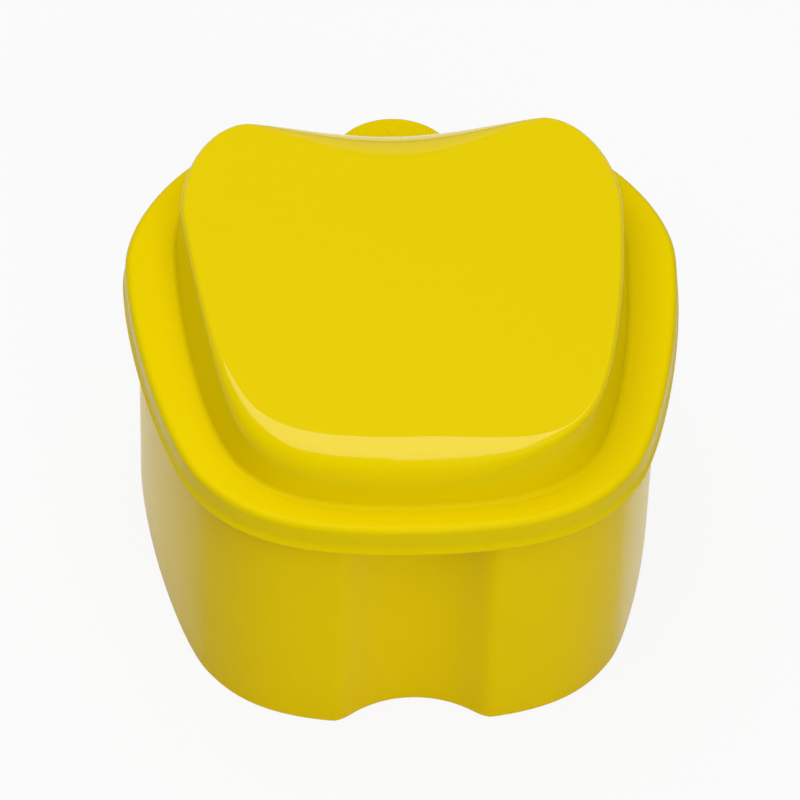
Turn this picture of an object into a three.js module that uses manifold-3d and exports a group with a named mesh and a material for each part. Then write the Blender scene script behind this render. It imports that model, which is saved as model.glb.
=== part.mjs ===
// Denture case: a tooth-shaped cup, a strainer basket that hangs on the cup's rim, and a lift-off lid with a
// raised top, a brim with a skirt, and a thumb tab at the back. Millimetres, +Z up, front at -Y.
import * as THREE from "three";
import { mergeVertices } from "three/addons/utils/BufferGeometryUtils.js";
import Module from "manifold-3d";

const wasm = await Module();
wasm.setup();

// Plan of the lid's brim, which the cup and the basket follow inside it. Front, widest, back and saddle are
// distances along Y from the middle of the case.
const brimPlan = {
  width: 89.6,
  front: 43.4,
  widest: 16,
  back: 45.1,
  saddle: 41.9,
  curveShares: {
    lobeAcross: 0.461,
    cornerAcross: 0.785,
    cornerAlong: 0.228,
    cornerLean: 0.63,
    frontPull: 0.48,
    cornerPullIn: 0.23,
    cornerPullOut: 0.16,
    sidePull: 0.29,
    sideRise: 0.451,
    lobeOut: 0.446,
    lobeIn: 0.5,
    saddlePull: 0.5,
  },
};

// Plan of the foot of the lid's raised top, where its wall would meet the brim with no cove
const domePlan = {
  width: 72.8,
  front: 39,
  widest: 17.9,
  back: 40.2,
  saddle: 37.8,
  curveShares: {
    lobeAcross: 0.68,
    cornerAcross: 0.77,
    cornerAlong: 0.165,
    cornerLean: 0.62,
    frontPull: 0.4,
    cornerPullIn: 0.3,
    cornerPullOut: 0.3,
    sidePull: 0.32,
    sideRise: 0.65,
    lobeOut: 0.57,
    lobeIn: 0.3,
    saddlePull: 0.46,
  },
};

// Lid
const brimTop = 49.6;
const skirtHeight = 5.6;
const skirtWall = 1.5;
const lidWall = 1.8;
const brimEdge = 1.8;
const skirtBead = 0.25;
const skirtBeadHeight = 0.6;
const domeHeight = 10.6;
const domeCove = 1;
const domeRound = 4.2;
const leanFront = 4.5;
const leanSide = 0.8;
const leanBack = 1.2;
const leanSaddle = 3.6;

// Thumb tab at the back of the lid
const tabRadius = 10.6;
const tabStandOut = 6.9;
const tabThickness = 2.2;
const tabEdge = 0.6;
const dimpleRadius = 0.9;
const dimpleInset = 3.2;
const dimpleDepth = 0.25;

// Cup
const cupWall = 2;
const cupDraft = 0.3;
const cupFloor = 1.8;
const footRecess = 1;
const footWidth = 3;
const footEdge = 0.8;
const rimBead = 0.3;
const rimBeadHeight = 1.6;
const rimRound = 0.4;
const cupFillet = 3;

// Flute in the front of the cup, where a finger reaches under the lid's skirt
const fluteHalfWidth = 12.2;
const fluteDepth = 5.4;
const fluteEdge = 1.8;

// Strainer basket
const basketWall = 1.3;
const basketGap = 0.8;
const basketTaper = 0.8;
const basketFloor = 1.4;
const basketUnderside = 8;
const basketFillet = 3;
const basketRim = 1.2;
const drainRadius = 2;
const drainPitch = 11;
const drainMargin = 4;
const slotWidth = 2.6;
const slotFoot = 15;
const slotTop = 35;
const slotCount = 20;

// Fits
const seatGap = 0.3;
const skirtGap = 0.4;
const cutOverrun = 1;

const cupOverhang = skirtWall + skirtGap + rimBead;
const tabReach = brimPlan.saddle + tabStandOut;
const rimHeight = brimTop - lidWall - seatGap - basketRim - seatGap;
const fluteRadius = (fluteHalfWidth ** 2 + fluteDepth ** 2) / (2 * fluteDepth);
const fluteCentre = cupOverhang - brimPlan.front + fluteDepth - fluteRadius;
const QUARTER = Math.PI / 2;

// Half a plan, from the middle of the front to the middle of the back, as four smooth curves
function halfPlan(plan) {
  const share = plan.curveShares;
  const half = plan.width / 2;
  const run = plan.front + plan.widest;
  const rise = plan.back - plan.widest;
  const at = (x, y) => new THREE.Vector2(x, y);
  const lean = at(Math.cos(share.cornerLean * QUARTER), Math.sin(share.cornerLean * QUARTER));
  const front = at(0, -plan.front);
  const corner = at(share.cornerAcross * half, share.cornerAlong * run - plan.front);
  const side = at(half, plan.widest);
  const lobe = at(share.lobeAcross * half, plan.back);
  const saddle = at(0, plan.saddle);
  const curve = (from, out, into, to) =>
    new THREE.CubicBezierCurve(from, from.clone().add(out), to.clone().add(into), to);
  return [
    curve(
      front,
      at(share.frontPull * half, 0),
      lean.clone().multiplyScalar(-share.cornerPullIn * half),
      corner,
    ),
    curve(
      corner,
      lean.clone().multiplyScalar(share.cornerPullOut * half),
      at(0, -share.sidePull * run),
      side,
    ),
    curve(side, at(0, share.sideRise * rise), at(share.lobeOut * (half - lobe.x), 0), lobe),
    curve(lobe, at(-share.lobeIn * lobe.x, 0), at(share.saddlePull * lobe.x, 0), saddle),
  ];
}

// Closed outline of a plan, anticlockwise from the middle of the front, moved outwards by grow
function outline(plan, grow, steps) {
  const half = halfPlan(plan).flatMap((curve, i) => curve.getPoints(steps[i]).slice(0, -1));
  half.push(new THREE.Vector2(0, plan.saddle));
  const mirrored = half.slice(1, -1).reverse().map((p) => new THREE.Vector2(-p.x, p.y));
  const points = [...half, ...mirrored];
  return points.map((p, i) => {
    const before = points.at(i - 1);
    const after = points[(i + 1) % points.length];
    const along = after.clone().sub(before).normalize();
    return new THREE.Vector2(p.x + along.y * grow, p.y - along.x * grow);
  });
}

// The larger of two values, with the corner between them rounded over a blend
function smoothMax(a, b, blend) {
  const near = Math.max(blend - Math.abs(a - b), 0) / blend;
  return Math.max(a, b) + (near * near * blend) / 4;
}

// Outline of the cup's outer wall moved outwards by grow, with the flute pressed into its front
const CUP_STEPS = [22, 7, 9, 7];
function cupOutline(grow) {
  const reach = fluteRadius - grow;
  return outline(brimPlan, grow - cupOverhang, CUP_STEPS).map((p) => {
    if (p.y > 0 || Math.abs(p.x) >= reach) return p;
    const flute = fluteCentre + Math.sqrt(reach ** 2 - p.x ** 2);
    return new THREE.Vector2(p.x, smoothMax(p.y, flute, fluteEdge));
  });
}

const raised = (points, height) => points.map((p) => new THREE.Vector3(p.x, p.y, height));

// Points of a section's arc, as how far out they lie and how high
function arc(out, height, radius, from, to, steps) {
  return Array.from({ length: steps + 1 }, (_, i) => {
    const angle = THREE.MathUtils.lerp(from, to, i / steps);
    return [out + radius * Math.cos(angle), height + radius * Math.sin(angle)];
  });
}

// Closed solid skinned over rings that have equally many points, with its first and last rings filled
function loft(rings) {
  const count = rings[0].length;
  const positions = rings.flat().flatMap((p) => p.toArray());
  const index = [];
  rings.slice(1).forEach((_, r) => {
    for (let i = 0; i < count; i++) {
      const a = r * count + i;
      const b = r * count + ((i + 1) % count);
      index.push(a, b, b + count, a, b + count, a + count);
    }
  });
  const cap = (ring, start, flip) => {
    const flat = ring.map((p) => new THREE.Vector2(p.x, p.y));
    THREE.ShapeUtils.triangulateShape(flat, []).forEach(([a, b, c]) => {
      index.push(start + a, start + (flip ? c : b), start + (flip ? b : c));
    });
  };
  cap(rings[0], 0, true);
  cap(rings.at(-1), (rings.length - 1) * count, false);
  const geometry = new THREE.BufferGeometry();
  geometry.setAttribute("position", new THREE.Float32BufferAttribute(positions, 3));
  geometry.setIndex(index);
  return geometry;
}

function solid(geometry) {
  const bare = geometry.clone();
  bare.deleteAttribute("normal");
  bare.deleteAttribute("uv");
  const merged = mergeVertices(bare);
  return new wasm.Manifold(
    new wasm.Mesh({
      numProp: 3,
      vertProperties: merged.attributes.position.array,
      triVerts: new Uint32Array(merged.index.array),
    }),
  );
}

function geometryOf(manifold) {
  const mesh = manifold.getMesh();
  const geometry = new THREE.BufferGeometry();
  geometry.setAttribute("position", new THREE.BufferAttribute(mesh.vertProperties, 3));
  geometry.setIndex(new THREE.BufferAttribute(mesh.triVerts, 1));
  const shaded = geometry.toNonIndexed();
  shaded.computeVertexNormals();
  return shaded;
}

// Cup: recessed underside, foot, wall, beaded rim, inside wall and floor
function cup() {
  const foot = -cupDraft;
  const beadFoot = rimHeight - rimBeadHeight;
  const rimTop = rimHeight - rimRound;
  const floorTop = footRecess + cupFloor;
  const section = [
    [foot - footWidth, footRecess],
    [foot - footWidth, 0],
    ...arc(foot - footEdge, footEdge, footEdge, -QUARTER, 0, 3),
    [0, beadFoot - rimBead],
    [rimBead, beadFoot],
    ...arc(rimBead - rimRound, rimTop, rimRound, 0, QUARTER, 2),
    ...arc(rimRound - cupWall, rimTop, rimRound, QUARTER, 2 * QUARTER, 2),
    ...arc(-cupWall - cupFillet, floorTop + cupFillet, cupFillet, 0, -QUARTER, 4),
  ];
  return loft(section.map(([grow, height]) => raised(cupOutline(grow), height)));
}

// Lid shell
const LID_STEPS = [9, 9, 9, 8];

// Rings of the raised top, from the brim to its flat, at a depth below its outer face. The wall leans in from
// the foot plan to the shoulder plan, with a cove at the foot and a round at the shoulder.
function domeRings(depth) {
  const foot = outline(domePlan, 0, LID_STEPS);
  const shoulder = outline(
    {
      ...domePlan,
      width: domePlan.width - 2 * leanSide,
      front: domePlan.front - leanFront,
      back: domePlan.back - leanBack,
      saddle: domePlan.saddle - leanSaddle,
    },
    0,
    LID_STEPS,
  );
  const sections = foot.map((p, i) => {
    const inward = shoulder[i].clone().sub(p);
    const tilt = Math.atan2(inward.length(), domeHeight);
    const coveOut = (domeCove * (Math.sin(tilt) - 1)) / Math.cos(tilt);
    const straight = Math.sin(tilt) * (domeHeight - domeRound);
    const roundIn = (domeRound + straight) / Math.cos(tilt);
    const section = [
      ...arc(coveOut, domeCove, domeCove + depth, -QUARTER, -tilt, 4),
      ...arc(roundIn, domeHeight - domeRound, domeRound - depth, 2 * QUARTER - tilt, QUARTER, 7),
    ];
    return section.map(([across, up]) => {
      const q = p.clone().addScaledVector(inward, across / inward.length());
      return new THREE.Vector3(q.x, q.y, brimTop + up);
    });
  });
  return sections[0].map((_, r) => sections.map((section) => section[r]));
}

function lidShell() {
  const skirtFoot = brimTop - skirtHeight;
  const beadTop = skirtFoot + skirtBeadHeight;
  const brimRing = ([grow, height]) => raised(outline(brimPlan, grow, LID_STEPS), height);
  const skirt = [
    [-skirtWall, brimTop - lidWall],
    [-skirtWall, skirtFoot],
    [skirtBead, skirtFoot],
    [skirtBead, beadTop],
    [0, beadTop + skirtBead],
    ...arc(-brimEdge, brimTop - brimEdge, brimEdge, 0, QUARTER, 5),
  ];
  return loft([...domeRings(lidWall).reverse(), ...skirt.map(brimRing), ...domeRings(0)]);
}

// Thumb tab: a round-ended plate level with the brim, rooted in the skirt
function thumbTab() {
  const root = brimPlan.saddle - skirtWall / 2 + tabEdge;
  const centre = tabReach - tabRadius;
  const radius = tabRadius - tabEdge;
  const start = Math.asin((root - centre) / radius);
  const shape = new THREE.Shape();
  shape.absarc(0, centre, radius, start, Math.PI - start, false);
  shape.closePath();
  const plate = new THREE.ExtrudeGeometry(shape, {
    depth: tabThickness - 2 * tabEdge,
    bevelThickness: tabEdge,
    bevelSize: tabEdge,
    bevelSegments: 2,
    curveSegments: 20,
  });
  plate.translate(0, 0, brimTop - tabThickness + tabEdge);
  const sphereRadius = (dimpleRadius ** 2 + dimpleDepth ** 2) / (2 * dimpleDepth);
  const dimple = new THREE.SphereGeometry(sphereRadius, 24, 16);
  dimple.translate(0, tabReach - dimpleInset, brimTop + sphereRadius - dimpleDepth);
  return solid(plate).subtract(solid(dimple));
}

// Slot cutter that runs along +Y, round-ended in Z, from its foot to its top
function slotCutter(width, foot, top, length) {
  const radius = width / 2;
  const shape = new THREE.Shape();
  shape.absarc(0, top - radius, radius, 0, Math.PI, false);
  shape.absarc(0, foot + radius, radius, Math.PI, 2 * Math.PI, false);
  shape.closePath();
  const cutter = new THREE.ExtrudeGeometry(shape, {
    depth: length,
    bevelEnabled: false,
    curveSegments: 3,
  });
  cutter.rotateX(QUARTER);
  cutter.translate(0, length / 2, 0);
  return cutter;
}

// Basket: drained floor, slotted wall, and a rim that follows the cup's rim but runs straight across the
// flute, where it leaves a lip for a finger
function basket() {
  const wallOut = -cupWall - basketGap;
  const footOut = wallOut - basketTaper;
  const rimFoot = rimHeight + seatGap;
  const rimTop = rimFoot + basketRim;
  const inside = basketUnderside + basketFloor;
  const filletIn = basketFillet - basketWall;
  const section = [
    ...arc(footOut - basketFillet, basketUnderside + basketFillet, basketFillet, -QUARTER, 0, 3),
    [wallOut, rimFoot],
  ];
  const within = [
    [wallOut - basketWall, rimTop],
    ...arc(footOut - basketFillet, inside + filletIn, filletIn, 0, -QUARTER, 3),
  ];
  const wallRing = ([grow, height]) => raised(cupOutline(grow), height);
  const lip = outline(brimPlan, rimBead - cupOverhang, CUP_STEPS);
  const lipRings = [raised(lip, rimFoot), raised(lip, rimTop)];
  let body = solid(loft([...section.map(wallRing), ...lipRings, ...within.map(wallRing)]));

  const floor = cupOutline(footOut - basketFillet - drainMargin);
  const drain = new THREE.CylinderGeometry(drainRadius, drainRadius, basketFloor + 2 * cutOverrun, 8);
  drain.rotateX(QUARTER);
  drain.translate(0, 0, basketUnderside + basketFloor / 2);
  const rowPitch = drainPitch * Math.sin(Math.PI / 3);
  const rows = Math.ceil(brimPlan.front / rowPitch);
  const columns = Math.ceil(brimPlan.width / 2 / drainPitch);
  for (let row = -rows; row <= rows; row++) {
    for (let column = -columns; column <= columns; column++) {
      const place = new THREE.Vector2((column + (row % 2 ? 1 / 2 : 0)) * drainPitch, row * rowPitch);
      if (!inPolygon(place, floor)) continue;
      body = body.subtract(solid(drain.clone().translate(place.x, place.y, 0)));
    }
  }

  const wallLine = new THREE.SplineCurve([...cupOutline(wallOut), cupOutline(wallOut)[0]]);
  const slot = slotCutter(slotWidth, slotFoot, slotTop, 2 * (basketWall + basketTaper + cutOverrun));
  for (let i = 0; i < slotCount; i++) {
    const share = (i + 1 / 2) / slotCount;
    body = body.subtract(solid(placedOnWall(slot, wallLine, share)));
  }
  return body;
}

// Whether a point lies inside a closed outline
function inPolygon(point, polygon) {
  let inside = false;
  polygon.forEach((a, i) => {
    const b = polygon.at(i - 1);
    const spans = a.y > point.y !== b.y > point.y;
    if (spans && point.x < ((b.x - a.x) * (point.y - a.y)) / (b.y - a.y) + a.x) inside = !inside;
  });
  return inside;
}

// A cutter turned square to the wall at a share of the way round it
function placedOnWall(cutter, wallLine, share) {
  const place = wallLine.getPointAt(share);
  const along = wallLine.getTangentAt(share);
  const placed = cutter.clone();
  placed.rotateZ(Math.atan2(along.y, along.x));
  placed.translate(place.x, place.y, 0);
  return placed;
}

function plastic(color, roughness) {
  return new THREE.MeshStandardMaterial({ color, roughness, metalness: 0 });
}

function piece(name, geometry, material) {
  const mesh = new THREE.Mesh(geometry, material);
  mesh.name = name;
  return mesh;
}

const yellow = plastic(0xe6ce00, 0.25);
const lidSolid = solid(lidShell()).add(thumbTab());

const dentureCase = new THREE.Group();
dentureCase.add(
  piece("case_cup", geometryOf(solid(cup())), yellow),
  piece("strainer_basket", geometryOf(basket()), plastic(0xf2f2ee, 0.4)),
  piece("lid", geometryOf(lidSolid), yellow.clone()),
);

// The origin moves to the middle of the whole case, tab included, on the surface that it stands on
dentureCase.position.y = (brimPlan.front + skirtBead - tabReach) / 2;

export default dentureCase;
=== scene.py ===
"""Denture case: a glossy yellow cup with a finger flute, a white basket with drain holes, and a lid with a
raised top, a skirted brim and a thumb tab. Metres, +Z up, front at -Y."""

import math

import bmesh
import bpy
import numpy as np
from mathutils import Matrix, Vector


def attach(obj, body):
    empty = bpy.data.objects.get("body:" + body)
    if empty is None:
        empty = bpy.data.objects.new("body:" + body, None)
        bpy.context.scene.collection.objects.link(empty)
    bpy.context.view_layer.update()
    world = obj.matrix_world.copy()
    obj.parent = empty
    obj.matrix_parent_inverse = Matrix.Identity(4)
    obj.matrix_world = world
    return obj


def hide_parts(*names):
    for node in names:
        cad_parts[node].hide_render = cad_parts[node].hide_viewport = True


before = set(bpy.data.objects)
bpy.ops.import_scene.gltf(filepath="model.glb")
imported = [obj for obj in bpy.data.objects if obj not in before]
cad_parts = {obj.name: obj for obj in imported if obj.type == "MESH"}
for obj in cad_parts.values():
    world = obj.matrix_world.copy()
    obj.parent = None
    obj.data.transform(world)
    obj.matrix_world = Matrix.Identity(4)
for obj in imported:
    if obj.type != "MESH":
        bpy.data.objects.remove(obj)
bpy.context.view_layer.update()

MM = 0.001
EPS = 0.00002

# Plan of the lid's brim, which the cup and the basket follow inside it
BRIM_PLAN = dict(
    width=89.6 * MM, front=43.4 * MM, widest=16 * MM, back=45.1 * MM, saddle=41.9 * MM,
    lobe_across=0.461, corner_across=0.785, corner_along=0.228, corner_lean=0.63,
    front_pull=0.48, corner_pull_in=0.23, corner_pull_out=0.16, side_pull=0.29,
    side_rise=0.451, lobe_out=0.446, lobe_in=0.5, saddle_pull=0.5,
)
# Plan of the foot of the lid's raised top
DOME_PLAN = dict(
    width=73.3 * MM, front=38.4 * MM, widest=16.9 * MM, back=38.7 * MM, saddle=38.5 * MM,
    lobe_across=0.655, corner_across=0.761, corner_along=0.166, corner_lean=0.582,
    front_pull=0.374, corner_pull_in=0.255, corner_pull_out=0.234, side_pull=0.315,
    side_rise=0.586, lobe_out=0.499, lobe_in=0.207, saddle_pull=0.437,
)
# Section of the raised top: how far its wall leans, how far its shoulder rolls across and down, and the cove
# at its foot. The shoulder is tight at the sides, and rolls softly at the middle of the front and in the
# saddle.
SIDE_FORM = dict(lean=0.9 * MM, across=0.9 * MM, down=1.1 * MM, cove=0.9 * MM)
FRONT_FORM = dict(lean=0.4 * MM, across=5.2 * MM, down=6.2 * MM, cove=0.9 * MM)
SADDLE_FORM = dict(lean=0.3 * MM, across=10 * MM, down=7 * MM, cove=0.6 * MM)
FRONT_REACH = 25.5 * MM
SADDLE_REACH = 24.6 * MM
# How much more each side leans at its middle, which lies ahead of the lid's middle
LEFT_LEAN = 1.3 * MM
RIGHT_LEAN = 0.45 * MM
LEAN_AHEAD = 7 * MM
LEAN_REACH = 25 * MM
INSIDE_ROUND = 0.5 * MM
COVE_STEPS = 8
SHOULDER_STEPS = 26
# Narrow ring round the flat of the top, which keeps its shading flat
FLAT_RING = 0.2 * MM

# Lid
BRIM_TOP = 49.6 * MM
DOME_TOP = 60.2 * MM
BRIM_EDGE = 1.2 * MM
LID_WALL = 1.8 * MM
SKIRT_WALL = 1.5 * MM
SKIRT_HEIGHT = 5.6 * MM
SKIRT_BEAD = 0.4 * MM
SKIRT_FLARE = 2 * MM
SKIRT_EDGE = 0.25 * MM
SKIRT_STEPS = 3
BEAD_END = math.pi / 6
BEAD_STEPS = 7
FLARE_STEPS = 5
EDGE_STEPS = 10
LID_STEPS = 36

# Thumb tab and its dimple
TAB_RADIUS = 10.6 * MM
TAB_REACH = 48.8 * MM
TAB_ROOT = 40 * MM
TAB_THICKNESS = 2.2 * MM
TAB_EDGE = 0.6 * MM
TAB_STEPS = 128
DIMPLE_RADIUS = 0.9 * MM
DIMPLE_INSET = 3.2 * MM
DIMPLE_DEPTH = 0.25 * MM
DIMPLE_SEGMENTS = 48
DIMPLE_RINGS = 32

# Cup, whose wall stands this far inside the brim's outline
CUP_INSET = 2.2 * MM
RIM_TOP = 46 * MM
RIM_BEAD = 0.3 * MM
RIM_BEAD_HEIGHT = 1.6 * MM
CUP_DRAFT = 0.3 * MM
CUP_WALL = 2 * MM
CUP_FLOOR = 2.8 * MM
CUP_FILLET = 3 * MM
FOOT_WIDTH = 3 * MM
FOOT_EDGE = 0.8 * MM
FOOT_RECESS = 1 * MM
CUP_EDGE = 0.4 * MM
CUP_STEPS = 56
FLUTE_RADIUS = 16.48 * MM
FLUTE_CENTRE = -52.28 * MM
FLUTE_EDGE = 1.8 * MM
FLUTE_REACH = 20 * MM

# Basket
BASKET_FOOT = 8 * MM
BASKET_LIP_FOOT = 46.3 * MM
BASKET_LIP_TOP = 47.5 * MM
BASKET_GAP = 0.8 * MM
BASKET_WALL = 1.3 * MM
BASKET_TAPER = 0.8 * MM
BASKET_FLOOR = 1.4 * MM
BASKET_FILLET = 3 * MM
LIP_EDGE = 0.35 * MM
FLUTE_MARGIN = 1.5 * MM
BASKET_STEPS = 40

# Slots in the basket's wall and drain holes in its floor
SLOT_WIDTH = 2.6 * MM
SLOT_FOOT = 15 * MM
SLOT_TOP = 35 * MM
SLOT_COUNT = 20
SLOT_REACH = 8 * MM
SLOT_ROUND = 0.499 * SLOT_WIDTH
DRAIN_RADIUS = 2 * MM
DRAIN_PITCH = 11 * MM
DRAIN_MARGIN = 4 * MM
DRAIN_REACH = 6 * MM
DRAIN_STEPS = 32
DRAIN_ROWS = 5

# The outlines are drawn about the middle of the lid, and the pieces lie this far from it along Y
CASE_SHIFT = -2.575 * MM

# Edges of more than this angle stay sharp
SHARP_ANGLE = math.radians(38)

# Plastic: clouds of two shades, wear that varies its gloss, and a fine grain. On the lid the two shades
# mostly follow height, as painted light on the raised top and painted shade on the brim, skirt and tab below
# it
CLOUD_SCALE = 60
CLOUD_STOPS = (0.3, 0.7)
WEAR_SCALE = 240
GRAIN_SCALE = 900
GRAIN_DEPTH = 0.02 * MM
WARM = (1.0, 0.95, 0.6, 1)
PLAIN = (1.0, 1.0, 1.0, 1)

# Polish of the raised top, which starts just above the brim and stops where the surface faces the front more
# than up. From the same heights up, the raised top is also painted lighter, as painted light
POLISH = 0.85
RAISED_FOOT = BRIM_TOP + 0.2 * MM
RAISED_FULL = BRIM_TOP + 1.2 * MM
POLISH_FACING = (0.64, 0.72)
POLISH_ROUGHNESS = 0.06

# Floor and the room's own light
FLOOR_SIZE = 6
FLOOR_COLOUR = (0.65, 0.65, 0.65, 1)
FLOOR_ROUGHNESS = 0.9
FLOOR_GLOW = 0.9
ROOM_COLOUR = (1, 1, 1, 1)
ROOM_LIGHT = 0.06

# Camera, with its azimuth, elevation and roll in degrees
CAMERA_ANGLES = (-4.7, 47.9, 2.1)
CAMERA_DISTANCE = 1.2
CAMERA_LENS = 325.6
CAMERA_SENSOR = 36
CAMERA_REACH = 20
AIM_RIGHT = 0.149 * MM
AIM_UP = 22.75 * MM


# Takes one piece in hand and lays all others down
def alone(piece):
    bpy.ops.object.select_all(action="DESELECT")
    piece.select_set(True)
    bpy.context.view_layer.objects.active = piece


# Opens a piece for shaping, with nothing on it picked yet
def edit(piece):
    alone(piece)
    bpy.ops.object.mode_set(mode="EDIT")
    bpy.ops.mesh.select_all(action="DESELECT")


def leave():
    bpy.ops.object.mode_set(mode="OBJECT")


# Picks the faces or edges of the open piece that pass a test
def pick(kind, test):
    bpy.ops.mesh.select_mode(type=kind)
    bpy.ops.mesh.select_all(action="DESELECT")
    mesh = bpy.context.edit_object.data
    shape = bmesh.from_edit_mesh(mesh)
    shape.normal_update()
    parts = shape.edges if kind == "EDGE" else shape.faces
    for part in [part for part in parts if test(part)]:
        part.select_set(True)
    bmesh.update_edit_mesh(mesh)


# Picks the largest face at a height that looks up or down
def pick_flat(height, up):
    mesh = bpy.context.edit_object.data
    shape = bmesh.from_edit_mesh(mesh)
    shape.normal_update()
    flats = [
        face for face in shape.faces
        if face.normal.z * up > 0.99 and abs(face.calc_center_median().z - height) < EPS
    ]
    largest = max(flats, key=lambda face: face.calc_area())
    pick("FACE", lambda face: face == largest)


def at_height(edge, height):
    return all(abs(vert.co.z - height) < EPS for vert in edge.verts)


def push(distance):
    bpy.ops.mesh.extrude_region_move(TRANSFORM_OT_translate={"value": (0, 0, distance)})


def inset(width, depth=0.0):
    bpy.ops.mesh.inset(thickness=width, depth=depth, use_even_offset=True, use_boundary=True)


def rounded(radius, steps):
    bpy.ops.mesh.bevel(offset=radius, segments=steps, affect="EDGES", clamp_overlap=False)


def finish_with(piece, kind, **settings):
    alone(piece)
    modifier = piece.modifiers.new(kind.title(), kind)
    for name, value in settings.items():
        setattr(modifier, name, value)
    bpy.ops.object.modifier_apply(modifier=modifier.name)


# A plan's outline as a closed Bezier curve of eight points, made a loop of edges at a height
def outline(name, plan, height, steps):
    half = plan["width"] / 2
    run = plan["front"] + plan["widest"]
    rise = plan["back"] - plan["widest"]
    lobe = plan["lobe_across"] * half
    lean = Vector((math.cos(plan["corner_lean"] * math.pi / 2), math.sin(plan["corner_lean"] * math.pi / 2)))
    right = [
        ((0, -plan["front"]), (-plan["front_pull"] * half, 0), (plan["front_pull"] * half, 0)),
        (
            (plan["corner_across"] * half, plan["corner_along"] * run - plan["front"]),
            -lean * plan["corner_pull_in"] * half,
            lean * plan["corner_pull_out"] * half,
        ),
        ((half, plan["widest"]), (0, -plan["side_pull"] * run), (0, plan["side_rise"] * rise)),
        ((lobe, plan["back"]), (plan["lobe_out"] * (half - lobe), 0), (-plan["lobe_in"] * lobe, 0)),
        ((0, plan["saddle"]), (plan["saddle_pull"] * lobe, 0), (-plan["saddle_pull"] * lobe, 0)),
    ]
    left = [
        ((-place[0], place[1]), (-after[0], after[1]), (-before[0], before[1]))
        for place, before, after in reversed(right[1:-1])
    ]
    bpy.ops.object.select_all(action="DESELECT")
    bpy.ops.curve.primitive_bezier_circle_add(radius=half)
    loop = bpy.context.object
    loop.name = name
    bpy.ops.object.mode_set(mode="EDIT")
    bpy.ops.curve.subdivide()
    bpy.ops.object.mode_set(mode="OBJECT")
    for point, (place, before, after) in zip(loop.data.splines[0].bezier_points, right + left):
        point.handle_left_type = point.handle_right_type = "FREE"
        point.co = (place[0], place[1] + CASE_SHIFT, height)
        point.handle_left = point.co + Vector((before[0], before[1], 0))
        point.handle_right = point.co + Vector((after[0], after[1], 0))
    loop.data.resolution_u = steps
    bpy.ops.object.convert(target="MESH")
    return bpy.context.object


# The same outline filled with one face that looks up, moved inwards by a width
def blank(name, plan, height, steps, width):
    piece = outline(name, plan, height, steps)
    edit(piece)
    bpy.ops.mesh.select_all(action="SELECT")
    bpy.ops.mesh.edge_face_add()
    bpy.ops.mesh.select_mode(type="FACE")
    inset(width)
    bpy.ops.mesh.select_all(action="INVERT")
    bpy.ops.mesh.delete(type="FACE")
    bpy.ops.mesh.select_all(action="SELECT")
    bpy.ops.mesh.normals_make_consistent(inside=False)
    shape = bmesh.from_edit_mesh(piece.data)
    shape.faces.ensure_lookup_table()
    shape.normal_update()
    if shape.faces[0].normal.z < 0:
        bpy.ops.mesh.flip_normals()
    leave()
    return piece


# Points of a piece at a height, in order round the case from the middle of its front
def ring_at(piece, height):
    middle = Vector((0, CASE_SHIFT, height))
    places = [vert.co.copy() for vert in piece.data.vertices if abs(vert.co.z - height) < EPS]
    return sorted(places, key=lambda place: math.atan2(place.x, -(place.y - middle.y)) % (2 * math.pi))


# How far the flute moves the cup's front line towards the back, at points along X
class Flute:
    def __init__(self, piece, height):
        ring = ring_at(piece, height)
        front = [place for place in ring if place.y < CASE_SHIFT and abs(place.x) < FLUTE_REACH]
        front.sort(key=lambda place: place.x)
        self.across = [place.x for place in front]
        self.line = [place.y for place in front]

    def front(self, x):
        return float(np.interp(x, self.across, self.line))

    def depth(self, x):
        if abs(x) >= FLUTE_RADIUS:
            return 0.0
        line = self.front(x)
        groove = FLUTE_CENTRE + CASE_SHIFT + math.sqrt(FLUTE_RADIUS ** 2 - x ** 2)
        # Groove and front run into each other over a rounded edge
        near = max(FLUTE_EDGE - abs(line - groove), 0) / FLUTE_EDGE
        return max(line, groove) + near * near * FLUTE_EDGE / 4 - line


# Presses the flute into all of a piece's front that lies further in than a margin from the cup's front line
def press_flute(piece, flute, margin):
    for vert in piece.data.vertices:
        place = vert.co
        if place.y < CASE_SHIFT and abs(place.x) < FLUTE_RADIUS and place.y > flute.front(place.x) + margin:
            place.y += flute.depth(place.x)


def smooth(piece):
    alone(piece)
    bpy.ops.object.shade_smooth_by_angle(angle=SHARP_ANGLE)
    finish_with(piece, "WEIGHTED_NORMAL", keep_sharp=True, weight=60)


# Cup: rim, drafted wall, foot with a recess, inside wall and floor; the flute is pressed in after it is made
def make_cup():
    cup = blank("cup_shell", BRIM_PLAN, RIM_TOP, CUP_STEPS, CUP_INSET - RIM_BEAD)
    edit(cup)
    pick("FACE", lambda face: True)
    push(-RIM_BEAD_HEIGHT)
    bead_foot = RIM_TOP - RIM_BEAD_HEIGHT
    bpy.ops.mesh.select_all(action="SELECT")
    bpy.ops.mesh.normals_make_consistent(inside=False)
    pick_flat(bead_foot, -1)
    inset(RIM_BEAD, RIM_BEAD)
    pick_flat(bead_foot - RIM_BEAD, -1)
    inset(CUP_DRAFT, bead_foot - RIM_BEAD)
    pick_flat(0, -1)
    bpy.ops.mesh.region_to_loop()
    rounded(FOOT_EDGE, 6)
    pick_flat(0, -1)
    inset(FOOT_WIDTH - FOOT_EDGE)
    pick_flat(0, -1)
    push(FOOT_RECESS)
    bpy.ops.mesh.region_to_loop()
    rounded(CUP_EDGE, 3)
    pick_flat(RIM_TOP, 1)
    bpy.ops.mesh.region_to_loop()
    rounded(CUP_EDGE, 4)
    pick_flat(RIM_TOP, 1)
    inset(CUP_WALL + RIM_BEAD - CUP_EDGE)
    pick_flat(RIM_TOP, 1)
    push(CUP_FLOOR - RIM_TOP)
    bpy.ops.mesh.region_to_loop()
    rounded(CUP_FILLET, 10)
    leave()
    return cup


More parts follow.
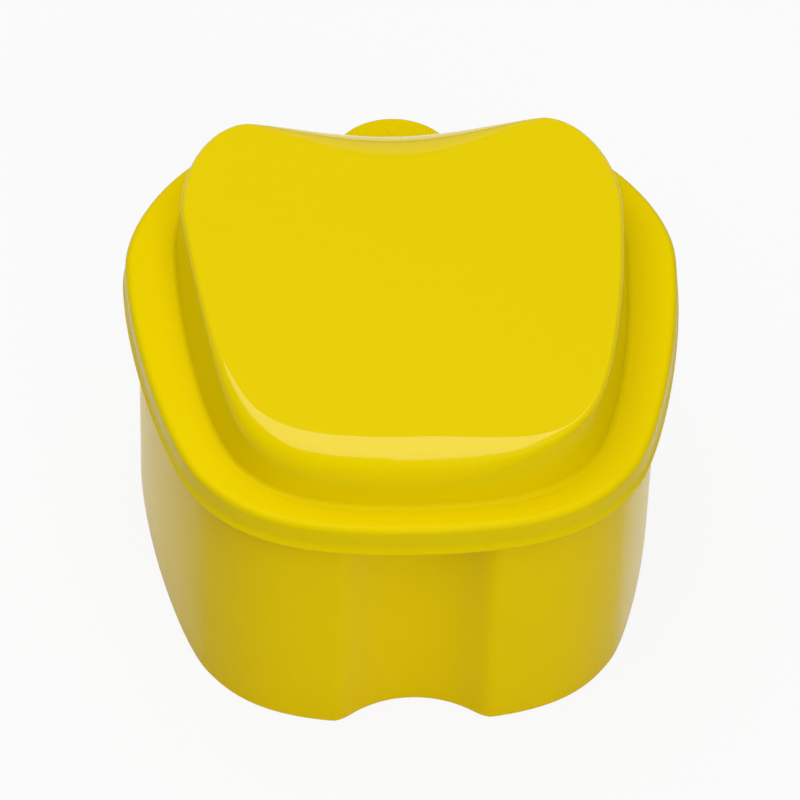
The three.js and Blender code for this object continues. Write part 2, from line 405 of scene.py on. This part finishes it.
# Places round a plan's outline, each with the direction that points out of it
def line_of(plan, steps):
    loop = outline("line", plan, 0, steps)
    places = [vert.co.copy() for vert in loop.data.vertices]
    bpy.data.objects.remove(loop)
    line = []
    for before, place, after in zip(places[-1:] + places[:-1], places, places[1:] + places[:1]):
        along = (after - before).normalized()
        line.append((place, Vector((along.y, -along.x, 0))))
    return line


# Points of a section's arc, as how far out they lie and how high
def arc(out, height, radius, start, end, steps):
    turns = [start + (end - start) * step / steps for step in range(steps + 1)]
    return [(out + radius * math.cos(turn), height + radius * math.sin(turn)) for turn in turns]


# Form of the raised top's section at a place of its foot. The soft front roll runs further round the left
# corner than round the right one.
def dome_form(place):
    ahead = CASE_SHIFT - place.y
    soft = FRONT_FORM if ahead > 0 else SADDLE_FORM
    reach = FRONT_REACH if ahead > 0 else SADDLE_REACH
    share = max(1 - (place.x / reach) ** 2, 0) ** 1.5
    if ahead > 0 and place.x < 0:
        share = (ahead / DOME_PLAN["front"]) ** 2
    form = {part: tight + (soft[part] - tight) * share for part, tight in SIDE_FORM.items()}
    side = max(1 - ((ahead - LEAN_AHEAD) / LEAN_REACH) ** 2, 0)
    form["lean"] += (LEFT_LEAN if place.x < 0 else RIGHT_LEAN) * side
    return form


# Section of the raised top at a depth below its outer face: cove, wall and rolled shoulder
def dome_section(place, depth):
    height = DOME_TOP - BRIM_TOP
    form = dome_form(place)
    cove = form["cove"]
    tilt = math.atan2(form["lean"], height)
    down = max(form["down"], depth + INSIDE_ROUND)
    run = max(form["across"] - depth, INSIDE_ROUND)
    fall = down - depth
    level = height - down
    # The shoulder's roll ends where it is as steep as the wall
    last = math.atan2(run, fall * math.tan(tilt))
    middle = -(level + fall * math.cos(last)) * math.tan(tilt) - depth / math.cos(tilt) - run * math.sin(last)
    cove_out = cove * (1 - math.sin(tilt)) / math.cos(tilt)
    section = arc(cove_out, cove, cove + depth, -math.pi / 2, tilt - math.pi, COVE_STEPS)
    for step in range(SHOULDER_STEPS + 1):
        turn = last * (1 - step / SHOULDER_STEPS)
        section.append((middle + run * math.sin(turn), level + fall * math.cos(turn)))
    return section


# Closed rings of places up the raised top, from its foot to its flat
def dome_rings(depth):
    sections = []
    for place, outward in line_of(DOME_PLAN, LID_STEPS):
        foot = place + Vector((0, 0, BRIM_TOP))
        sections.append([foot + outward * out + Vector((0, 0, up)) for out, up in dome_section(place, depth)])
    return [list(ring) for ring in zip(*sections)]


# Skirt from the corner under the brim, round its foot and its bead, up the flare that eases the bead into the
# upright wall, and over the brim's rounded edge
def skirt_rings():
    foot = BRIM_TOP - SKIRT_HEIGHT
    section = [(-SKIRT_WALL, BRIM_TOP - LID_WALL)]
    edge = SKIRT_EDGE
    section += arc(edge - SKIRT_WALL, foot + edge, edge, -math.pi, -math.pi / 2, SKIRT_STEPS)
    section += arc(0, foot + SKIRT_BEAD, SKIRT_BEAD, -math.pi / 2, BEAD_END, BEAD_STEPS)
    out, up = section[-1]
    corner = up + out / math.tan(BEAD_END)
    for step in range(1, FLARE_STEPS + 1):
        flare = 1 - step / FLARE_STEPS
        level = flare ** 2 * up + 2 * flare * (1 - flare) * corner + (1 - flare) ** 2 * (foot + SKIRT_FLARE)
        section.append((flare ** 2 * out, level))
    section += arc(-BRIM_EDGE, BRIM_TOP - BRIM_EDGE, BRIM_EDGE, 0, math.pi / 2, EDGE_STEPS)
    line = line_of(BRIM_PLAN, LID_STEPS)
    return [[place + outward * out + Vector((0, 0, up)) for place, outward in line] for out, up in section]


# Shell over rings of places: a loop of edges is extruded from each ring to the next
def skin(name, rings):
    shell = outline(name, DOME_PLAN, 0, LID_STEPS)
    numbers = shell.data.attributes.new("number", "INT", "POINT")
    numbers.data.foreach_set("value", list(range(len(shell.data.vertices))))
    for vert, place in zip(shell.data.vertices, rings[0]):
        vert.co = place
    edit(shell)
    bpy.ops.mesh.select_mode(type="EDGE")
    bpy.ops.mesh.select_all(action="SELECT")
    for ring in rings[1:]:
        bpy.ops.mesh.extrude_edges_move()
        shape = bmesh.from_edit_mesh(shell.data)
        number = shape.verts.layers.int["number"]
        for vert in shape.verts:
            if vert.select:
                vert.co = ring[vert[number]]
        bmesh.update_edit_mesh(shell.data)
    for height in (rings[0][0].z, rings[-1][0].z):
        pick("EDGE", lambda edge: edge.is_boundary and at_height(edge, height))
        bpy.ops.mesh.edge_face_add()
    bpy.ops.mesh.select_all(action="SELECT")
    bpy.ops.mesh.normals_make_consistent(inside=False)
    leave()
    shell.data.attributes.remove(shell.data.attributes["number"])
    return shell


# Lid: inside of the raised top, skirt, brim and outside of the raised top in one shell, then the thumb tab
def make_lid():
    lid = skin("lid_shell", dome_rings(LID_WALL)[::-1] + skirt_rings() + dome_rings(0))
    edit(lid)
    pick_flat(DOME_TOP, 1)
    inset(FLAT_RING)
    leave()
    add_tab(lid)
    return lid


# Thumb tab: a disc cut off inside the brim, rounded at its edges, with a dimple, joined to the lid
def add_tab(lid):
    root = TAB_ROOT + CASE_SHIFT
    centre = TAB_REACH - TAB_RADIUS + CASE_SHIFT
    bpy.ops.object.select_all(action="DESELECT")
    foot = (0, centre, BRIM_TOP - TAB_THICKNESS)
    bpy.ops.mesh.primitive_circle_add(vertices=TAB_STEPS, radius=TAB_RADIUS, fill_type="NGON", location=foot)
    tab = bpy.context.object
    tab.name = "thumb_tab"
    bpy.ops.object.transform_apply(location=True, rotation=False, scale=False)
    edit(tab)
    bpy.ops.mesh.select_all(action="SELECT")
    bpy.ops.mesh.bisect(plane_co=(0, root, 0), plane_no=(0, 1, 0), clear_inner=True, use_fill=False)
    bpy.ops.mesh.select_all(action="SELECT")
    push(TAB_THICKNESS)
    bpy.ops.mesh.select_all(action="SELECT")
    bpy.ops.mesh.normals_make_consistent(inside=False)
    pick("EDGE", lambda edge: at_height(edge, edge.verts[0].co.z) and any(
        vert.co.y > root + EPS for vert in edge.verts))
    rounded(TAB_EDGE, 5)
    leave()
    sphere = (DIMPLE_RADIUS ** 2 + DIMPLE_DEPTH ** 2) / (2 * DIMPLE_DEPTH)
    bpy.ops.mesh.primitive_uv_sphere_add(
        segments=DIMPLE_SEGMENTS, ring_count=DIMPLE_RINGS, radius=sphere,
        location=(0, TAB_REACH - DIMPLE_INSET + CASE_SHIFT, BRIM_TOP + sphere - DIMPLE_DEPTH),
    )
    ball = bpy.context.object
    bpy.ops.object.transform_apply(location=True, rotation=False, scale=False)
    finish_with(tab, "BOOLEAN", operation="DIFFERENCE", solver="EXACT", object=ball)
    bpy.data.objects.remove(ball)
    finish_with(lid, "BOOLEAN", operation="UNION", solver="EXACT", object=tab)
    bpy.data.objects.remove(tab)


# Basket: wall and floor inside the cup, a lip on the cup's rim, slots and drain holes
def make_basket(flute):
    basket = blank("basket_shell", BRIM_PLAN, BASKET_LIP_TOP, BASKET_STEPS, CUP_INSET - RIM_BEAD)
    edit(basket)
    pick("FACE", lambda face: True)
    push(BASKET_LIP_FOOT - BASKET_LIP_TOP)
    bpy.ops.mesh.select_all(action="SELECT")
    bpy.ops.mesh.normals_make_consistent(inside=False)
    pick("EDGE", lambda edge: at_height(edge, BASKET_LIP_FOOT) or at_height(edge, BASKET_LIP_TOP))
    rounded(LIP_EDGE, 3)
    pick_flat(BASKET_LIP_FOOT, -1)
    inset(RIM_BEAD + CUP_WALL + BASKET_GAP - LIP_EDGE)
    pick_flat(BASKET_LIP_FOOT, -1)
    inset(BASKET_TAPER, BASKET_LIP_FOOT - BASKET_FOOT)
    pick_flat(BASKET_FOOT, -1)
    bpy.ops.mesh.region_to_loop()
    rounded(BASKET_FILLET, 8)
    pick_flat(BASKET_LIP_TOP, 1)
    inset(RIM_BEAD + CUP_WALL + BASKET_GAP + BASKET_WALL - LIP_EDGE)
    pick_flat(BASKET_LIP_TOP, 1)
    floor = BASKET_FOOT + BASKET_FLOOR
    inset(BASKET_TAPER, floor - BASKET_LIP_TOP)
    pick_flat(floor, 1)
    bpy.ops.mesh.region_to_loop()
    rounded(BASKET_FILLET - BASKET_WALL, 6)
    leave()
    press_flute(basket, flute, FLUTE_MARGIN)
    cut_slots(basket)
    cut_drains(basket)
    return basket


# Copy of a cutter, with a mesh of its own, at a place and turned about Z
def copy_of(piece, place, turn):
    twin = piece.copy()
    twin.data = piece.data.copy()
    bpy.context.scene.collection.objects.link(twin)
    twin.location = place
    twin.rotation_euler = (0, 0, turn)
    return twin


def cut_with(piece, cutters):
    bpy.ops.object.select_all(action="DESELECT")
    for cutter in cutters:
        cutter.select_set(True)
    bpy.context.view_layer.objects.active = cutters[0]
    bpy.ops.object.join()
    cutter = bpy.context.object
    finish_with(piece, "BOOLEAN", operation="DIFFERENCE", solver="EXACT", object=cutter)
    bpy.data.objects.remove(cutter)


# Upright slots at even steps round the basket's wall
def cut_slots(basket):
    wall = ring_at(basket, BASKET_FOOT + BASKET_FILLET)
    ends = wall[1:] + wall[:1]
    steps = [(end - start).length for start, end in zip(wall, ends)]
    run = np.cumsum([0.0] + steps)
    bpy.ops.object.select_all(action="DESELECT")
    size = (SLOT_WIDTH, SLOT_REACH, SLOT_TOP - SLOT_FOOT)
    bpy.ops.mesh.primitive_cube_add(size=1, location=(0, 0, 0), scale=size)
    slot = bpy.context.object
    bpy.ops.object.transform_apply(location=True, rotation=False, scale=True)
    edit(slot)
    pick("EDGE", lambda edge: abs(edge.verts[0].co.y - edge.verts[1].co.y) > EPS)
    rounded(SLOT_ROUND, 8)
    leave()
    slots = []
    for number in range(SLOT_COUNT):
        along = run[-1] * (number + 0.5) / SLOT_COUNT
        index = int(np.searchsorted(run, along)) - 1
        step = ends[index] - wall[index]
        place = wall[index] + step * ((along - run[index]) / steps[index])
        place.z = (SLOT_FOOT + SLOT_TOP) / 2
        slots.append(copy_of(slot, place, math.atan2(step.y, step.x)))
    bpy.data.objects.remove(slot)
    cut_with(basket, slots)


# Rows of drain holes in the basket's floor, each row half a step from the next
def cut_drains(basket):
    foot = ring_at(basket, BASKET_FOOT)
    middle = Vector((0, CASE_SHIFT, BASKET_FOOT))
    bpy.ops.object.select_all(action="DESELECT")
    bpy.ops.mesh.primitive_cylinder_add(vertices=DRAIN_STEPS, radius=DRAIN_RADIUS, depth=DRAIN_REACH)
    drain = bpy.context.object
    drains = []
    row_pitch = DRAIN_PITCH * math.sin(math.pi / 3)
    for row in range(-DRAIN_ROWS, DRAIN_ROWS + 1):
        for column in range(-DRAIN_ROWS, DRAIN_ROWS + 1):
            place = middle + Vector(((column + (row % 2) / 2) * DRAIN_PITCH, row * row_pitch, 0))
            edge = min(foot, key=lambda point: (point - place).length)
            if (edge - place).dot(edge - middle) > 0 and (edge - place).length > DRAIN_MARGIN:
                drains.append(copy_of(drain, place, 0))
    bpy.data.objects.remove(drain)
    cut_with(basket, drains)


# A new finish, with its node tree and its shader
def new_material(name):
    material = bpy.data.materials.new(name)
    material.use_nodes = True
    return material, material.node_tree, material.node_tree.nodes["Principled BSDF"]


# A node of a finish; the values that it is given have underscores for the spaces in their names
def add_node(tree, kind, **values):
    node = tree.nodes.new("ShaderNode" + kind)
    for name, value in values.items():
        node.inputs[name.replace("_", " ")].default_value = value
    return node


# Sum, product or larger of two values, each worked out by the finish or a plain number
def maths(tree, operation, first, second):
    node = add_node(tree, "Math")
    node.operation = operation
    for socket, value in zip(node.inputs, (first, second)):
        if isinstance(value, float):
            socket.default_value = value
        else:
            tree.links.new(value, socket)
    return node.outputs["Value"]


# Soft clouds through the plastic
def noise(tree, place, scale, detail):
    cloud = add_node(tree, "TexNoise", Scale=scale, Detail=detail)
    tree.links.new(place.outputs["Object"], cloud.inputs["Vector"])
    return cloud.outputs["Fac"]


def map_range(tree, value, interpolation, **ends):
    node = add_node(tree, "MapRange", **ends)
    node.interpolation_type = interpolation
    tree.links.new(value, node.inputs["Value"])
    return node.outputs["Result"]


# Height of a place, or how far a direction looks up
def height_of(tree, vector):
    split = add_node(tree, "SeparateXYZ")
    tree.links.new(vector, split.inputs["Vector"])
    return split.outputs["Z"]


# Polish on what faces up of the raised top
def polish(tree, shader, place, raised):
    facing = height_of(tree, place.outputs["Normal"])
    least, most = POLISH_FACING
    upward = map_range(tree, facing, "SMOOTHSTEP", From_Min=least, From_Max=most, To_Max=POLISH)
    tree.links.new(maths(tree, "MULTIPLY", raised, upward), shader.inputs["Coat Weight"])
    shader.inputs["Coat Roughness"].default_value = POLISH_ROUGHNESS


# Moulded plastic; the lid's is polished on the raised top, which is also painted a little lighter as painted
# light, while the lid's brim, skirt and tab take the deeper colour as painted shade
def plastic(name, colour, cloud_and_painted_shade, level, tint, roughness, grain, polished_and_painted_top=False):
    material, tree, shader = new_material(name)
    shader.inputs["Specular IOR Level"].default_value = level
    shader.inputs["Specular Tint"].default_value = tint
    place = add_node(tree, "TexCoord")
    shade = noise(tree, place, CLOUD_SCALE, detail=3)
    if polished_and_painted_top:
        height = height_of(tree, place.outputs["Object"])
        raised = map_range(tree, height, "LINEAR", From_Min=RAISED_FOOT, From_Max=RAISED_FULL)
        # Lid: painted light on the raised top, painted shade on the brim, skirt and tab, over a faint cloud
        shade = maths(tree, "MULTIPLY", maths(tree, "ADD", shade, raised), 0.5)
        polish(tree, shader, place, raised)
    shades = add_node(tree, "ValToRGB")
    for stop, position, stop_colour in zip(shades.color_ramp.elements, CLOUD_STOPS, (cloud_and_painted_shade, colour)):
        stop.position = position
        stop.color = (*stop_colour, 1)
    tree.links.new(shade, shades.inputs["Fac"])
    tree.links.new(shades.outputs["Color"], shader.inputs["Base Color"])
    wear = noise(tree, place, WEAR_SCALE, detail=5)
    gloss = map_range(tree, wear, "LINEAR", To_Min=roughness[0], To_Max=roughness[1])
    tree.links.new(gloss, shader.inputs["Roughness"])
    bump = add_node(tree, "Bump", Strength=grain, Distance=GRAIN_DEPTH)
    tree.links.new(noise(tree, place, GRAIN_SCALE, detail=2), bump.inputs["Height"])
    tree.links.new(bump.outputs["Normal"], shader.inputs["Normal"])
    return material


# Pale floor that is seen, mirrored and looked through as white, and still takes the case's shadow
def lay_floor():
    bpy.ops.object.select_all(action="DESELECT")
    bpy.ops.mesh.primitive_plane_add(size=FLOOR_SIZE, location=(0, 0, 0))
    ground = bpy.context.object
    ground.name = "pale_floor"
    paper, tree, matt = new_material("pale_paper")
    matt.inputs["Base Color"].default_value = FLOOR_COLOUR
    matt.inputs["Roughness"].default_value = FLOOR_ROUGHNESS
    matt.inputs["Specular IOR Level"].default_value = 0.0
    glow = add_node(tree, "Emission", Color=(1, 1, 1, 1), Strength=1)
    rays = add_node(tree, "LightPath").outputs
    seen = maths(tree, "MAXIMUM", rays["Is Camera Ray"], rays["Is Glossy Ray"])
    seen = maths(tree, "MAXIMUM", seen, rays["Is Transmission Ray"])
    blend = add_node(tree, "MixShader")
    tree.links.new(maths(tree, "MULTIPLY", seen, FLOOR_GLOW), blend.inputs["Fac"])
    tree.links.new(matt.outputs["BSDF"], blend.inputs[1])
    tree.links.new(glow.outputs["Emission"], blend.inputs[2])
    tree.links.new(blend.outputs["Shader"], tree.nodes["Material Output"].inputs["Surface"])
    ground.data.materials.append(paper)


# Camera on a ray from the middle of the case's foot, aimed a little above it
def set_camera():
    azimuth, elevation, roll = (math.radians(angle) for angle in CAMERA_ANGLES)
    back = Vector((
        math.sin(azimuth) * math.cos(elevation),
        -math.cos(azimuth) * math.cos(elevation),
        math.sin(elevation),
    ))
    level = Vector((math.cos(azimuth), math.sin(azimuth), 0))
    rise = back.cross(level)
    right = math.cos(roll) * level + math.sin(roll) * rise
    up = math.cos(roll) * rise - math.sin(roll) * level
    middle = Vector((0, CASE_SHIFT, 0))
    target = middle + AIM_RIGHT * right + AIM_UP * up
    eye = middle + CAMERA_DISTANCE * back
    look = (eye - target).normalized()
    right = (right - right.dot(look) * look).normalized()
    up = look.cross(right)
    data = bpy.data.cameras.new("camera")
    data.lens = CAMERA_LENS
    data.sensor_width = CAMERA_SENSOR
    data.clip_end = CAMERA_REACH
    camera = bpy.data.objects.new("camera", data)
    bpy.context.scene.collection.objects.link(camera)
    camera.matrix_world = Matrix((
        (right.x, up.x, look.x, eye.x),
        (right.y, up.y, look.y, eye.y),
        (right.z, up.z, look.z, eye.z),
        (0, 0, 0, 1),
    ))
    bpy.context.scene.camera = camera


# Lamp with a broad soft face at a place, turned to a point that it lights
def softbox(name, place, aim, size, power):
    data = bpy.data.lights.new(name, "AREA")
    data.shape = "RECTANGLE"
    data.size, data.size_y = size
    data.energy = power
    lamp = bpy.data.objects.new(name, data)
    bpy.context.scene.collection.objects.link(lamp)
    lamp.location = place
    lamp.rotation_euler = (Vector(place) - Vector(aim)).to_track_quat("Z", "Y").to_euler()


# White room with a faint light of its own
def light_room():
    world = bpy.data.worlds.new("studio")
    bpy.context.scene.world = world
    world.use_nodes = True
    background = world.node_tree.nodes["Background"]
    background.inputs["Color"].default_value = ROOM_COLOUR
    background.inputs["Strength"].default_value = ROOM_LIGHT


cup = make_cup()
flute = Flute(cup, RIM_TOP - RIM_BEAD_HEIGHT - RIM_BEAD)
press_flute(cup, flute, -math.inf)
lid = make_lid()
basket = make_basket(flute)
for piece in (cup, lid, basket):
    smooth(piece)

# The lid's deeper colour is painted shade on its brim, skirt and tab, its lighter one painted light on the
# top
yellow_lid = plastic(
    "lid_yellow", colour=(0.85, 0.65, 0.0), cloud_and_painted_shade=(0.815, 0.625, 0.0), level=0.04, tint=WARM,
    roughness=(0.16, 0.24), grain=0.3, polished_and_painted_top=True,
)
yellow_cup = plastic(
    "cup_yellow", colour=(0.88, 0.642, 0.0), cloud_and_painted_shade=(0.865, 0.627, 0.0), level=0.03, tint=WARM,
    roughness=(0.16, 0.26), grain=0.4,
)
white_basket = plastic(
    "basket_white", colour=(0.86, 0.86, 0.84), cloud_and_painted_shade=(0.84, 0.84, 0.815), level=0.5, tint=PLAIN,
    roughness=(0.3, 0.4), grain=0.6,
)
for piece, material, body, node, slot in (
    (cup, yellow_cup, "cup", "case_cup", "yellow_plastic"),
    (basket, white_basket, "basket", "strainer_basket", "basket_plastic"),
    (lid, yellow_lid, "lid", "lid", "lid_plastic"),
):
    piece.data.materials.clear()
    piece.data.materials.append(material)
    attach(piece, body)
    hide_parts(node)

lay_floor()
set_camera()
softbox("roof", place=(-0.25, -0.175, 1.1), aim=(-0.25, -0.175, 0), size=(1.45, 1.95), power=16.9)
softbox("front", place=(1, -1.62, 0.74), aim=(1, -0.92, 0.04), size=(2, 1.2), power=15.6)
softbox("back", place=(0, 1.6, 0.65), aim=(0, 0, 0.05), size=(2.4, 0.9), power=2.8)
light_room()
bpy.context.scene.view_settings.view_transform = "Standard"
